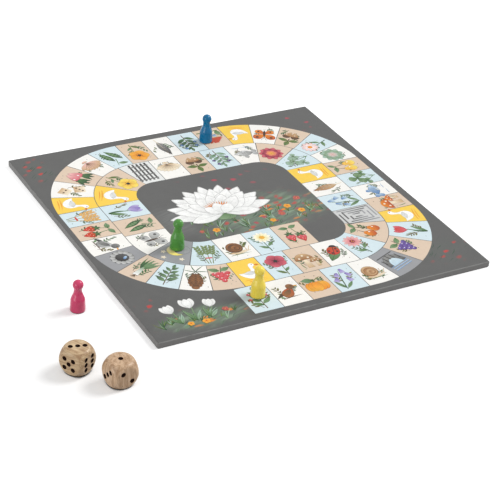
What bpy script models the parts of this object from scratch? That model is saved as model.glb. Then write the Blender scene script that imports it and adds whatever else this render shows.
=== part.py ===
"""Game of the goose set: a paper-covered board with four turned pawns and two wooden dice."""

import math

import bmesh
import bpy
from mathutils import Matrix, Vector

# Board, in metres
BOARD_SIDE = 0.290
CORE_THICKNESS = 0.0037
SHEET_THICKNESS = 0.00035  # printed sheet and liner are the same stock
TURN_IN_WIDTH = 0.016  # sheet folded under along each edge
EDGE_ROUND = 0.0009  # outside rounding of the wrapped edges
FIT_GAP = 0.0003  # glue line between layers, and under a piece that stands on another

# Pawns, stacked from the foot up
PAWN_BASE_DIAMETER = 0.0117
PAWN_FOOT_ROUND = 0.0009
PAWN_BODY_HEIGHT = 0.0082
PAWN_BODY_TAPER = 0.00035  # lost from the radius between foot and shoulder
PAWN_SLOPE_HEIGHT = 0.0085  # shoulder to waist
PAWN_NECK_LENGTH = 0.0023  # waist to the ball of the head
PAWN_HEAD_DIAMETER = 0.0081
PAWN_NECK_STEP = 0.0009  # how far the head stands out from the neck

# Dice: a cube rounded by a ball
DIE_SIDE = 0.020
DIE_BALL_PROUD = 0.0029  # ball radius beyond the flat faces
PIP_DIAMETER = 0.0032
PIP_DEPTH = 0.0008
PIP_SPREAD = 0.0036  # from the middle of a face to its corner pips, along each side
PIP_WEB = 0.0010  # wood left between the three pips in a row of a six

# Places: pawns on the board in shares of its side from the middle, the rest from its left near corner
PAWN_SPOTS = {
    "blue_pawn": (0.093, 0.4005),
    "green_pawn": (-0.260, -0.1195),
    "yellow_pawn": (-0.1705, -0.407),
}
PINK_PAWN_FROM_EDGE = 0.0263
PINK_PAWN_ALONG_EDGE = 0.0678
LEFT_DIE_FROM_EDGE = 0.0489
LEFT_DIE_ALONG_EDGE = -0.0004
DICE_GAP = 0.0068
DICE_DIRECTION = math.radians(-50)  # from the left die to the right one
LEFT_DIE_TURN = math.radians(-60)
RIGHT_DIE_TURN = math.radians(6.6)

# Pip count of each face, and which diagonal a two or a three takes
LEFT_DIE_FACES = {
    "top": (3, 1),
    "bottom": (4, 1),
    "front": (5, 1),
    "back": (2, 1),
    "right": (6, 1),
    "left": (1, 1),
}
RIGHT_DIE_FACES = {
    "top": (1, 1),
    "bottom": (6, 1),
    "front": (2, -1),
    "back": (5, 1),
    "right": (4, 1),
    "left": (3, -1),
}

# Fineness of the round shapes
TURNED_STEPS = 24
HEAD_STEPS = 8
SLOPE_STEPS = 6
FOOT_STEPS = 3
BALL_SEGMENTS = 32
PIP_SEGMENTS = 12
EDGE_SEGMENTS = 3

# Colour, roughness and metallic value of each finish
GREY_PRINT = ((0.160, 0.158, 0.156, 1), 0.45, 0.0)
GREYBOARD = ((0.330, 0.310, 0.280, 1), 0.90, 0.0)
LINER_PAPER = ((0.120, 0.120, 0.122, 1), 0.70, 0.0)
BLUE_PAINT = ((0.010, 0.120, 0.360, 1), 0.25, 0.0)
GREEN_PAINT = ((0.080, 0.290, 0.075, 1), 0.25, 0.0)
YELLOW_PAINT = ((0.750, 0.600, 0.060, 1), 0.25, 0.0)
PINK_PAINT = ((0.520, 0.050, 0.130, 1), 0.25, 0.0)
BEECH = ((0.520, 0.360, 0.210, 1), 0.55, 0.0)

# Heights and widths that follow from the sizes above
CORE_BOTTOM = SHEET_THICKNESS + FIT_GAP
CORE_SIDE = BOARD_SIDE - 2 * CORE_BOTTOM
BOARD_THICKNESS = CORE_THICKNESS + 2 * CORE_BOTTOM
CORE_ROUND = max(EDGE_ROUND - CORE_BOTTOM, 0)
LINER_SIDE = BOARD_SIDE - 2 * (TURN_IN_WIDTH + FIT_GAP)
PIECE_FLOOR = BOARD_THICKNESS + FIT_GAP
BALL_RADIUS = DIE_SIDE / 2 + DIE_BALL_PROUD
PIP_ROW_PITCH = PIP_DIAMETER + PIP_WEB
PIP_BALL_RADIUS = ((PIP_DIAMETER / 2) ** 2 + PIP_DEPTH**2) / (2 * PIP_DEPTH)


def new_collection(name, hidden=False):
    collection = bpy.data.collections.new(name)
    collection.hide_render = hidden
    bpy.context.scene.collection.children.link(collection)
    return collection


def new_material(name, finish):
    colour, roughness, metallic = finish
    material = bpy.data.materials.new(name)
    material.use_nodes = True
    shader = material.node_tree.nodes["Principled BSDF"]
    shader.inputs["Base Color"].default_value = colour
    shader.inputs["Roughness"].default_value = roughness
    shader.inputs["Metallic"].default_value = metallic
    return material


def new_object(name, bm, collection, material=None):
    mesh = bpy.data.meshes.new(name)
    bm.to_mesh(mesh)
    bm.free()
    obj = bpy.data.objects.new(name, mesh)
    collection.objects.link(obj)
    if material:
        mesh.materials.append(material)
    return obj


def block(side, thickness, bottom):
    """A square slab whose underside lies at the given height."""
    bm = bmesh.new()
    lift = Matrix.Translation((0, 0, bottom + thickness / 2))
    bmesh.ops.create_cube(bm, size=1, matrix=lift @ Matrix.Diagonal((side, side, thickness, 1)))
    return bm


def round_edges(obj, width, segments):
    bevel = obj.modifiers.new("round_edges", "BEVEL")
    bevel.width = width
    bevel.segments = segments
    bevel.limit_method = "ANGLE"
    return bevel


def make_core(parts):
    core = new_object("board_core", block(CORE_SIDE, CORE_THICKNESS, CORE_BOTTOM), parts,
                      new_material("greyboard", GREYBOARD))
    if CORE_ROUND:
        round_edges(core, CORE_ROUND, EDGE_SEGMENTS)
    return core


def make_printed_sheet(parts):
    """Paper over the top and edges, folded in under the board and open in the middle of the underside."""
    bm = block(BOARD_SIDE, BOARD_THICKNESS, 0)
    underside = min(bm.faces, key=lambda face: face.calc_center_median().z)
    bmesh.ops.inset_individual(bm, faces=[underside], thickness=TURN_IN_WIDTH, use_even_offset=True)
    bmesh.ops.delete(bm, geom=[underside], context="FACES_ONLY")
    sheet = new_object("printed_sheet", bm, parts, new_material("grey_print", GREY_PRINT))
    round_edges(sheet, EDGE_ROUND, EDGE_SEGMENTS)
    paper = sheet.modifiers.new("paper", "SOLIDIFY")
    paper.thickness = SHEET_THICKNESS
    paper.offset = -1
    paper.use_even_offset = True
    return sheet


def make_liner(parts):
    return new_object("back_liner", block(LINER_SIDE, SHEET_THICKNESS, 0), parts,
                      new_material("liner_paper", LINER_PAPER))


def pawn_outline():
    """Radius and height along a pawn's half outline, from the top of the head to the middle of the foot."""
    head_radius = PAWN_HEAD_DIAMETER / 2
    neck_radius = head_radius - PAWN_NECK_STEP
    base_radius = PAWN_BASE_DIAMETER / 2
    shoulder_radius = base_radius - PAWN_BODY_TAPER
    waist_height = PAWN_BODY_HEIGHT + PAWN_SLOPE_HEIGHT
    ball_height = waist_height + PAWN_NECK_LENGTH + math.sqrt(head_radius**2 - neck_radius**2)
    outline = []
    for step in range(HEAD_STEPS + 1):
        angle = step / HEAD_STEPS * (math.pi - math.asin(neck_radius / head_radius))
        outline.append((head_radius * math.sin(angle), ball_height + head_radius * math.cos(angle)))
    for step in range(SLOPE_STEPS + 1):
        share = step / SLOPE_STEPS
        widening = (1 - math.cos(math.pi * share)) / 2
        radius = neck_radius + (shoulder_radius - neck_radius) * widening
        outline.append((radius, waist_height - PAWN_SLOPE_HEIGHT * share))
    for step in range(FOOT_STEPS + 1):
        angle = step / FOOT_STEPS * math.pi / 2
        radius = base_radius - PAWN_FOOT_ROUND * (1 - math.cos(angle))
        outline.append((radius, PAWN_FOOT_ROUND * (1 - math.sin(angle))))
    outline.append((0, 0))
    return outline


def make_pawn(name, finish, location, parts):
    """A turned pawn with its origin in the middle of its foot, on the axis that it lifts along."""
    bm = bmesh.new()
    points = [bm.verts.new((radius, 0, height)) for radius, height in pawn_outline()]
    for upper, lower in zip(points, points[1:]):
        bm.edges.new((upper, lower))
    pawn = new_object(name, bm, parts, new_material(name + "_paint", finish))
    turning = pawn.modifiers.new("turning", "SCREW")
    turning.axis = "Z"
    turning.steps = TURNED_STEPS
    turning.render_steps = TURNED_STEPS
    turning.use_merge_vertices = True
    turning.merge_threshold = 0.00001
    pawn.location = location
    return pawn


def pip_spots(count, slant):
    """Where the pips of one face lie, across and up from its middle."""
    near, far = -PIP_SPREAD, PIP_SPREAD
    if count == 6:
        return [(side, row) for side in (near, far) for row in (-PIP_ROW_PITCH, 0, PIP_ROW_PITCH)]
    spots = [(0, 0)] if count % 2 else []
    if count in (2, 3):
        spots += [(near, near * slant), (far, far * slant)]
    if count in (4, 5):
        spots += [(near, near), (near, far), (far, near), (far, far)]
    return spots


def face_axes(face):
    """Outward normal of a die's face, and the two directions that its pips are laid out along."""
    x, y, z = Vector((1, 0, 0)), Vector((0, 1, 0)), Vector((0, 0, 1))
    return {
        "top": (z, x, y),
        "bottom": (-z, x, y),
        "front": (-y, x, z),
        "back": (y, x, z),
        "right": (x, y, z),
        "left": (-x, y, z),
    }[face]


def make_die(name, faces, location, turn, material, parts, cutters):
    """A die with its origin in its middle: a cube cut back by a ball, with drilled pips."""
    cube = bmesh.new()
    bmesh.ops.create_cube(cube, size=DIE_SIDE)
    die = new_object(name, cube, parts, material)

    ball = bmesh.new()
    bmesh.ops.create_uvsphere(ball, u_segments=BALL_SEGMENTS, v_segments=BALL_SEGMENTS // 2,
                              radius=BALL_RADIUS)
    pips = bmesh.new()
    pip_middle = DIE_SIDE / 2 - PIP_DEPTH + PIP_BALL_RADIUS
    for face, (count, slant) in faces.items():
        normal, across, up = face_axes(face)
        for right, high in pip_spots(count, slant):
            middle = normal * pip_middle + across * right + up * high
            bmesh.ops.create_uvsphere(pips, u_segments=PIP_SEGMENTS, v_segments=PIP_SEGMENTS // 2,
                                      radius=PIP_BALL_RADIUS, matrix=Matrix.Translation(middle))

    for suffix, shape, operation in (("_ball", ball, "INTERSECT"), ("_pips", pips, "DIFFERENCE")):
        cutter = new_object(name + suffix, shape, cutters)
        cutter.data.shade_smooth()
        cutter.hide_render = True
        cutter.display_type = "WIRE"
        cutter.parent = die
        cut = die.modifiers.new(suffix.strip("_"), "BOOLEAN")
        cut.operation = operation
        cut.solver = "EXACT"
        cut.object = cutter
    die.location = location
    die.rotation_euler.z = turn
    return die


def main():
    for obj in list(bpy.data.objects):
        bpy.data.objects.remove(obj, do_unlink=True)
    parts = new_collection("goose_game_board")
    cutters = new_collection("cutters", hidden=True)

    board = bpy.data.objects.new("board", None)
    parts.objects.link(board)
    for layer in (make_core(parts), make_printed_sheet(parts), make_liner(parts)):
        layer.parent = board

    finishes = {"blue_pawn": BLUE_PAINT, "green_pawn": GREEN_PAINT, "yellow_pawn": YELLOW_PAINT}
    for name, (right, away) in PAWN_SPOTS.items():
        spot = Vector((right * BOARD_SIDE, away * BOARD_SIDE, PIECE_FLOOR))
        make_pawn(name, finishes[name], spot, parts)

    corner = Vector((-BOARD_SIDE / 2, -BOARD_SIDE / 2, 0))
    pink_left = PINK_PAWN_FROM_EDGE + PAWN_BASE_DIAMETER / 2
    make_pawn("pink_pawn", PINK_PAINT, corner + Vector((-pink_left, PINK_PAWN_ALONG_EDGE, 0)), parts)

    beech = new_material("beech", BEECH)
    die_left = LEFT_DIE_FROM_EDGE + BALL_RADIUS
    left_spot = corner + Vector((-die_left, LEFT_DIE_ALONG_EDGE, DIE_SIDE / 2))
    apart = 2 * BALL_RADIUS + DICE_GAP
    right_spot = left_spot + Vector((math.cos(DICE_DIRECTION), math.sin(DICE_DIRECTION), 0)) * apart
    make_die("left_die", LEFT_DIE_FACES, left_spot, LEFT_DIE_TURN, beech, parts, cutters)
    make_die("right_die", RIGHT_DIE_FACES, right_spot, RIGHT_DIE_TURN, beech, parts, cutters)


main()
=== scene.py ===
import math
import random
from contextlib import contextmanager
from functools import partial

import bpy
from mathutils import Matrix, Vector


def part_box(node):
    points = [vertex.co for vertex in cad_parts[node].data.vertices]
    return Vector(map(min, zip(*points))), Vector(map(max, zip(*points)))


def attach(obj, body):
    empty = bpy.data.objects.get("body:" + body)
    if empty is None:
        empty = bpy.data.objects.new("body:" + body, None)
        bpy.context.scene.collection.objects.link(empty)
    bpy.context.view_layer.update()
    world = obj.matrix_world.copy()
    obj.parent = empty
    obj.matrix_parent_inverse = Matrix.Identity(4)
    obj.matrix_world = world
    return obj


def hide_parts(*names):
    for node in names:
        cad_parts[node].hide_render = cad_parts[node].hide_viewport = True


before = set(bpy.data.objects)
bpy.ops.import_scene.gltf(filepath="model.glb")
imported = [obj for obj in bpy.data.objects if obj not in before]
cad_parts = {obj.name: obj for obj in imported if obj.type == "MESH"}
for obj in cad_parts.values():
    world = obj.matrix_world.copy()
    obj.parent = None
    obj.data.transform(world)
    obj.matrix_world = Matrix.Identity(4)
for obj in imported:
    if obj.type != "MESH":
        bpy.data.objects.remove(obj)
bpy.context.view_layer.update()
mm = 0.001


# Small helpers for selecting, joining and wiring

def clearSelection():
    if bpy.context.object and bpy.context.object.mode != 'OBJECT':
        bpy.ops.object.mode_set(mode='OBJECT')
    bpy.ops.object.select_all(action='DESELECT')


def workOn(piece):
    clearSelection()
    piece.select_set(True)
    bpy.context.view_layer.objects.active = piece


@contextmanager
def editing(piece):   # edit mode with the whole mesh selected
    workOn(piece)
    bpy.ops.object.mode_set(mode='EDIT')
    bpy.ops.mesh.select_all(action='SELECT')
    yield
    bpy.ops.object.mode_set(mode='OBJECT')


def closeMesh(piece, doubles=1e-6):
    with editing(piece):
        bpy.ops.mesh.remove_doubles(threshold=doubles)
        bpy.ops.mesh.normals_make_consistent(inside=False)


def smoothOver(piece, angle):   # smooth shading, sharp where faces meet at more than the angle
    workOn(piece)
    bpy.ops.object.shade_smooth_by_angle(angle=math.radians(angle))


def joinPieces(name, pieces):
    clearSelection()
    for piece in pieces:
        piece.select_set(True)
    bpy.context.view_layer.objects.active = pieces[0]
    bpy.ops.object.join()
    pieces[0].name = name
    pieces[0].data.name = name
    return pieces[0]


def newPiece(name, mesh):
    piece = bpy.data.objects.new(name, mesh)
    bpy.context.scene.collection.objects.link(piece)
    return piece


def standFor(piece, node):   # the dressed piece takes the place of the plain solid
    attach(piece, node)
    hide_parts(node)


def reachFrom(x, y, turn, along, aside=0.0):   # a point along and beside a line that leans by turn
    c, s = math.cos(math.radians(turn)), math.sin(math.radians(turn))
    return x + c * aside - s * along, y + s * aside + c * along


def spinOutline(line, steps):   # turns an outline of radius and height in mm, from axis to axis
    clearSelection()
    bpy.ops.mesh.primitive_circle_add(vertices=len(line), radius=1, fill_type='NOTHING')
    piece = bpy.context.object
    bpy.ops.object.mode_set(mode='EDIT')
    bpy.ops.mesh.select_all(action='DESELECT')
    bpy.ops.object.mode_set(mode='OBJECT')
    for vertex, (radius, height) in zip(piece.data.vertices, line):
        vertex.co = (radius * mm, 0, height * mm)
    for edge in piece.data.edges:
        edge.select = set(edge.vertices) == {0, len(line) - 1}   # the edge along the axis
    bpy.ops.object.mode_set(mode='EDIT')
    bpy.ops.mesh.select_mode(type='EDGE')
    bpy.ops.mesh.delete(type='EDGE_FACE')
    bpy.ops.mesh.select_mode(type='VERT')
    bpy.ops.mesh.select_all(action='SELECT')
    bpy.ops.mesh.spin(steps=steps, angle=2 * math.pi, center=(0, 0, 0), axis=(0, 0, 1))
    bpy.ops.object.mode_set(mode='OBJECT')
    closeMesh(piece, 2e-6)
    return piece


def linear(tone):   # screen tone from 0 to 255, to the linear colour of nodes and attributes
    channels = [c / 255 for c in tone]
    return tuple(c / 12.92 if c <= 0.04045 else ((c + 0.055) / 1.055) ** 2.4 for c in channels) + (1.0,)


def feed(tree, node, feeds):   # links other sockets, and sets plain values, on the inputs of a node
    for key, value in feeds.items():
        if isinstance(value, bpy.types.NodeSocket):
            tree.links.new(value, node.inputs[key])
        else:
            node.inputs[key].default_value = value


def wire(tree, kind, feeds=None, **settings):
    node = tree.nodes.new('ShaderNode' + kind)
    for key, value in settings.items():
        setattr(node, key, value)
    feed(tree, node, feeds or {})
    return node


def calc(tree, operation, a, b=0.0):
    return wire(tree, 'Math', {0: a, 1: b}, operation=operation).outputs[0]


def vectors(tree, operation, a, b=(0, 0, 0)):
    return wire(tree, 'VectorMath', {0: a, 1: b}, operation=operation).outputs


def axes(tree, vector):
    return wire(tree, 'SeparateXYZ', {0: vector}).outputs


def spread(tree, value, low, high, toLow=0.0, toHigh=1.0):   # smooth step from one range to another
    feeds = {0: value, 1: low, 2: high, 3: toLow, 4: toHigh}
    return wire(tree, 'MapRange', feeds, interpolation_type='SMOOTHSTEP').outputs[0]


def mixInks(tree, factor, a, b, blend='MIX'):
    return wire(tree, 'Mix', {0: factor, 6: a, 7: b}, data_type='RGBA', blend_type=blend).outputs[2]


def stain(tree, ink, tone, value, low, high, most=1.0):   # a screen tone over a colour, as a value rises
    return mixInks(tree, spread(tree, value, low, high, 0.0, most), ink, linear(tone))


def shadeInk(tree, ink, tone):   # a colour made darker or lighter by a value
    grey = wire(tree, 'CombineColor', {0: tone, 1: tone, 2: tone}).outputs[0]
    return mixInks(tree, 1.0, ink, grey, 'MULTIPLY')


def noise(tree, vector, scale, detail=3.0, rough=0.5, output='Fac'):
    feeds = {'Vector': vector, 'Scale': scale, 'Detail': detail, 'Roughness': rough}
    return wire(tree, 'TexNoise', feeds).outputs[output]


def objectPlace(tree):
    return wire(tree, 'TexCoord').outputs['Object']


def scaled(tree, place, scale):
    return wire(tree, 'Mapping', {'Vector': place, 'Scale': scale}).outputs[0]


def bumpFrom(tree, height, strength, depth=0.0002):
    return wire(tree, 'Bump', {'Strength': strength, 'Distance': depth, 'Height': height}).outputs[0]


def nodeGroup(name, inlets, outlets):   # the group, its inlet sockets and its outlet node
    group = bpy.data.node_groups.new(name, 'ShaderNodeTree')
    for label, value in inlets.items():
        kind = 'NodeSocketVector' if isinstance(value, tuple) else 'NodeSocketFloat'
        group.interface.new_socket(name=label, in_out='INPUT', socket_type=kind).default_value = value
    for label in outlets:
        group.interface.new_socket(name=label, in_out='OUTPUT', socket_type='NodeSocketFloat')
    return group, group.nodes.new('NodeGroupInput').outputs, group.nodes.new('NodeGroupOutput')


def useGroup(tree, group, values):
    return wire(tree, 'Group', values, node_tree=group).outputs


def newMaterial(name):
    material = bpy.data.materials.new(name)
    material.use_nodes = True
    return material, material.node_tree, material.node_tree.nodes['Principled BSDF']


# Camera, table and light

def seenRays(tree):   # 1 for the rays that show the room itself, 0 for those that light the pieces
    path = wire(tree, 'LightPath').outputs
    seen = calc(tree, 'MAXIMUM', path['Is Camera Ray'], path['Is Glossy Ray'])
    return calc(tree, 'MAXIMUM', seen, path['Is Transmission Ray'])


cameraView = dict(   # eye and nearest in m, angles in degrees, lens and sensor in mm
    eye=(-0.57088, -0.97004, 0.65444), turn=-30.98, tilt=31.42, roll=4.70,
    lens=114.94, sensor=36.0, nearest=0.01)


def setCamera():
    turn, tilt, roll = (math.radians(cameraView[angle]) for angle in ('turn', 'tilt', 'roll'))
    clearSelection()
    bpy.ops.object.camera_add(location=cameraView['eye'])
    camera = bpy.context.object
    camera.name = 'photoCamera'
    camera.data.lens = cameraView['lens']
    camera.data.sensor_width = cameraView['sensor']
    camera.data.clip_start = cameraView['nearest']
    view = Matrix.Rotation(turn, 3, 'Z') @ Matrix.Rotation(math.pi / 2 - tilt, 3, 'X')
    camera.rotation_euler = (view @ Matrix.Rotation(roll, 3, 'Z')).to_euler()
    bpy.context.scene.camera = camera
    bpy.context.scene.view_settings.view_transform = 'Standard'


table = dict(   # side in m, other lengths in mm; glow and keep are what the camera sees
    side=8.0, drop=0.2, bounce=0.42, glow=0.30, keep=0.76,
    contact=30.0, shut=0.20, open=0.45,   # painted contact shadow: dark only in the gap under a rounded piece
    thinFrom=30.0, thinBy=12.0, thinNear=0.12, thinFar=0.26)   # more glow thins the board's own shadow


def layTable():
    clearSelection()
    bpy.ops.mesh.primitive_plane_add(size=table['side'], location=(0, 0, -table['drop'] * mm))
    floor = bpy.context.object
    floor.name = 'tableTop'
    material, tree, shader = newMaterial('whiteTable')
    tree.nodes.remove(shader)
    matt = wire(tree, 'BsdfDiffuse', {'Color': (table['bounce'],) * 3 + (1,)})
    # ambient occlusion paints a contact shadow into the table's colour and glow as the camera sees them
    room = wire(tree, 'AmbientOcclusion', {'Distance': table['contact'] * mm}, samples=16).outputs['AO']
    room = spread(tree, room, table['shut'], table['open'])
    white = shadeInk(tree, (table['keep'],) * 3 + (1,), room)
    seenMatt = wire(tree, 'BsdfDiffuse', {'Color': white})
    place = axes(tree, objectPlace(tree))
    boardLeft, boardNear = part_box('printed_sheet')[0].xy
    start, full = (boardLeft - table[reach] * mm for reach in ('thinFrom', 'thinBy'))
    beside = spread(tree, place[0], start, full)
    extra = spread(tree, place[1], boardNear, 0.0, table['thinNear'], table['thinFar'])
    lift = calc(tree, 'ADD', calc(tree, 'MULTIPLY', beside, extra), table['glow'])
    glow = wire(tree, 'Emission', {'Strength': calc(tree, 'MULTIPLY', room, lift)})
    lifted = wire(tree, 'AddShader', {0: seenMatt.outputs[0], 1: glow.outputs[0]})
    mix = wire(tree, 'MixShader', {0: seenRays(tree), 1: matt.outputs[0], 2: lifted.outputs[0]})
    feed(tree, tree.nodes['Material Output'], {'Surface': mix.outputs[0]})
    floor.data.materials.append(material)


lights = dict(
    sky=0.52,
    key=dict(kind='SUN', at=(1.26, -0.03, 1.15), power=2.15, angle=28.0),   # a far soft box
    fill=dict(kind='AREA', at=(-1.35, -0.35, 0.35), power=6.5, size=0.80),
)


def setLights():
    world = bpy.context.scene.world or bpy.data.worlds.new('studio')
    bpy.context.scene.world = world
    world.use_nodes = True
    tree = world.node_tree
    strength = wire(tree, 'MapRange', {0: seenRays(tree), 3: lights['sky'], 4: 1.0}).outputs[0]
    feed(tree, tree.nodes['Background'], {'Color': (1, 1, 1, 1), 'Strength': strength})
    for name in ('key', 'fill'):
        lamp = lights[name]
        clearSelection()
        bpy.ops.object.light_add(type=lamp['kind'], location=lamp['at'])
        light = bpy.context.object
        light.name = name + 'Light'
        light.data.energy = lamp['power']
        if lamp['kind'] == 'SUN':
            light.data.angle = math.radians(lamp['angle'])
        else:
            light.data.size = lamp['size']
        light.rotation_euler = (-Vector(lamp['at'])).to_track_quat('-Z', 'Y').to_euler()


setCamera()
layTable()
setLights()
print('camera, table and light are set')


# Surface effects that several materials share

def makePaperTooth():   # slow mottling and fine tooth of paper under film
    group, inlet, outlet = nodeGroup(
        'paperTooth', {'Cloud Size': 0.02, 'Tooth Size': 0.0005}, ['Mottle', 'Tooth'])
    place = objectPlace(group)
    clouds = noise(group, place, calc(group, 'DIVIDE', 1.0, inlet['Cloud Size']), 4.0, 0.6)
    tooth = noise(group, place, calc(group, 'DIVIDE', 1.0, inlet['Tooth Size']), 2.0)
    feed(group, outlet, {'Mottle': clouds, 'Tooth': tooth})
    return group


def makePaintPool():   # a pool of thin paint with a ragged soft rim
    group, inlet, outlet = nodeGroup(
        'paintPool', {'Middle': (0, 0, 0), 'Reach': (0.03, 0.01, 1), 'Ragged': 0.5}, ['Mask'])
    place = objectPlace(group)
    away = vectors(group, 'SUBTRACT', place, inlet['Middle'])[0]
    radius = vectors(group, 'LENGTH', vectors(group, 'DIVIDE', away, inlet['Reach'])[0])['Value']
    wander = calc(group, 'SUBTRACT', noise(group, place, 55, 4), 0.5)
    drift = calc(group, 'MULTIPLY', wander, inlet['Ragged'])
    feed(group, outlet, {'Mask': spread(group, calc(group, 'ADD', radius, drift), 1.0, 0.25)})
    return group


def drawnOut(group, inlet, place):   # places turned and drawn out along the strokes
    feeds = {'Vector': place, 'Angle': inlet['Turn']}
    turned = wire(group, 'VectorRotate', feeds, rotation_type='Z_AXIS').outputs[0]
    stroke = wire(group, 'CombineXYZ', {0: inlet['Length'], 1: inlet['Width'], 2: 1.0}).outputs[0]
    return vectors(group, 'DIVIDE', turned, stroke)[0]


def makeBrushMarks():   # dry brush marks or fibres along one direction
    group, inlet, outlet = nodeGroup(
        'brushMarks', {'Turn': 0.4, 'Length': 0.02, 'Width': 0.002}, ['Marks'])
    strokes = drawnOut(group, inlet, objectPlace(group))
    feed(group, outlet, {'Marks': noise(group, strokes, 1.0, 3.0, 0.6)})
    return group


def makePaintDabs():   # soft separate dabs, laid at random along one direction
    wanderSize, wander = 160.0, 0.004
    group, inlet, outlet = nodeGroup(
        'paintDabs', {'Turn': 0.4, 'Length': 0.02, 'Width': 0.004, 'Share': 0.3}, ['Mask'])
    place = objectPlace(group)
    drift = noise(group, place, wanderSize, output='Color')
    drift = vectors(group, 'MULTIPLY', drift, (wander, wander, wander))[0]
    strokes = drawnOut(group, inlet, vectors(group, 'ADD', place, drift)[0])
    cells = wire(group, 'TexVoronoi', {'Vector': strokes, 'Scale': 1.0}, voronoi_dimensions='2D').outputs
    lot = wire(group, 'SeparateColor', {0: cells['Color']}).outputs[0]   # drawn once for each place
    chosen = calc(group, 'LESS_THAN', lot, inlet['Share'])
    dab = spread(group, cells['Distance'], 0.46, 0.10)
    feed(group, outlet, {'Mask': calc(group, 'MULTIPLY', dab, chosen)})
    return group


paperTooth = makePaperTooth()
paintPool = makePaintPool()
paintDabs = makePaintDabs()
brushMarks = makeBrushMarks()


def filmFinish(tree, shader, roughness, bump):   # satin film over printed paper
    paper = useGroup(tree, paperTooth, {'Cloud Size': 0.012, 'Tooth Size': 0.0005})
    gloss = spread(tree, paper['Mottle'], 0.3, 0.7, roughness - 0.04, roughness + 0.05)
    feed(tree, shader, {'Roughness': gloss, 'Normal': bumpFrom(tree, paper['Tooth'], bump),
                        'Specular IOR Level': 0.25})
    return paper


# Board layers, kept from the frame and given their paper

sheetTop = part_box('printed_sheet')[1].z

boardFinish = dict(   # tones from 0 to 255, places in mm from the middle of the board
    # the edge tone is painted light on the side faces, which makes them paler
    ground=(93, 93, 92), edge=(132, 131, 130), rubAndArrisHighlight=(154, 154, 152), film=0.46,
    core=(158, 152, 144), coreFleck=(122, 116, 108), liner=(92, 92, 94), linerFleck=(116, 115, 113),
    dabs=dict(   # turn in degrees, length and width in mm, share of the places filled, tone
        mist=(-20, 22, 5.0, 0.60, (134, 152, 132)), reed=(-38, 13, 1.3, 0.22, (54, 78, 62)),
        moss=(-14, 11, 2.2, 0.35, (98, 128, 92)), orange=(-6, 11, 4.0, 0.20, (226, 134, 50)),
        red=(-30, 9, 5.6, 0.34, (188, 66, 62)), rose=(12, 8, 5.4, 0.12, (176, 72, 84)),
    ),
    washes=[   # middle and reach of each pool, its strength and tone if it has a wash, and its dabs
        dict(at=(-58, 4), reach=(22, 30), strength=0.40, tone=(140, 143, 141), dabs=()),
        dict(at=(18, -12), reach=(72, 36), strength=0.95, tone=(116, 138, 116),
             dabs=('mist', 'moss', 'reed', 'orange', 'red', 'rose')),
        dict(at=(-98, -127), reach=(44, 17), strength=0.95, tone=(116, 138, 114),
             dabs=('mist', 'moss', 'reed', 'orange')),
        dict(at=(0, 46), reach=(66, 20), dabs=('rose',)),
        dict(at=(-128, 118), reach=(16, 26), strength=0.25, tone=(92, 104, 94), dabs=('red', 'reed')),
        dict(at=(-133, -96), reach=(9, 14), dabs=('red',)),
        dict(at=(120, 122), reach=(26, 20), dabs=('rose',)),
        dict(at=(120, -116), reach=(26, 22), strength=0.25, tone=(92, 104, 94), dabs=('red', 'reed')),
    ],
)


def paintWash(tree, ink, wash, marks, dabs):   # one pool of thin paint with its dabs over it
    (x, y), (wide, deep) = wash['at'], wash['reach']
    values = {'Middle': (x * mm, y * mm, sheetTop), 'Reach': (wide * mm, deep * mm, 1.0), 'Ragged': 0.8}
    pool = useGroup(tree, paintPool, values)['Mask']
    if 'tone' in wash:
        streaky = spread(tree, marks, 0.34, 0.66, wash['strength'] / 3, wash['strength'])
        ink = mixInks(tree, calc(tree, 'MULTIPLY', pool, streaky), ink, linear(wash['tone']))
    for name in wash['dabs']:
        cover = calc(tree, 'MULTIPLY', pool, dabs[name])
        ink = mixInks(tree, cover, ink, linear(boardFinish['dabs'][name][-1]))
    return ink


def makeSheetPrint():
    material, tree, shader = newMaterial('sheetPrint')
    paper = filmFinish(tree, shader, boardFinish['film'], 0.06)
    tone = calc(tree, 'MULTIPLY', spread(tree, paper['Mottle'], 0.25, 0.75, 0.93, 1.06),
                spread(tree, paper['Tooth'], 0.2, 0.8, 0.95, 1.05))
    ink = shadeInk(tree, linear(boardFinish['ground']), tone)
    marks = useGroup(tree, brushMarks, {'Turn': -0.30, 'Length': 0.030, 'Width': 0.0022})['Marks']
    dabs = {}
    for name, dab in boardFinish['dabs'].items():
        turn, length, width, share = dab[:4]
        values = {'Turn': math.radians(turn), 'Length': length * mm, 'Width': width * mm, 'Share': share}
        dabs[name] = useGroup(tree, paintDabs, values)['Mask']
    for wash in boardFinish['washes']:
        ink = paintWash(tree, ink, wash, marks, dabs)
    # the side faces are painted paler, a painted light level; along the rounded arris where the sheet turns
    # over a lighter line is painted, partly rubbed wear and partly painted highlight
    upward = axes(tree, wire(tree, 'TexCoord').outputs['Normal'])[2]
    ink = stain(tree, ink, boardFinish['edge'], upward, 0.30, 0.05)
    turning = calc(tree, 'MULTIPLY', upward, calc(tree, 'SUBTRACT', 1.0, upward))
    # a lighter line along the rounded arris, broken at random: partly rubbed wear, partly painted highlight
    rubAndArrisHighlight = calc(tree, 'MULTIPLY', spread(tree, turning, 0.06, 0.20, 0.0, 0.65),
               spread(tree, paper['Mottle'], 0.3, 0.6, 0.5, 1.0))
    feed(tree, shader, {'Base Color': mixInks(tree, rubAndArrisHighlight, ink, linear(boardFinish['rubAndArrisHighlight']))})
    return material


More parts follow.
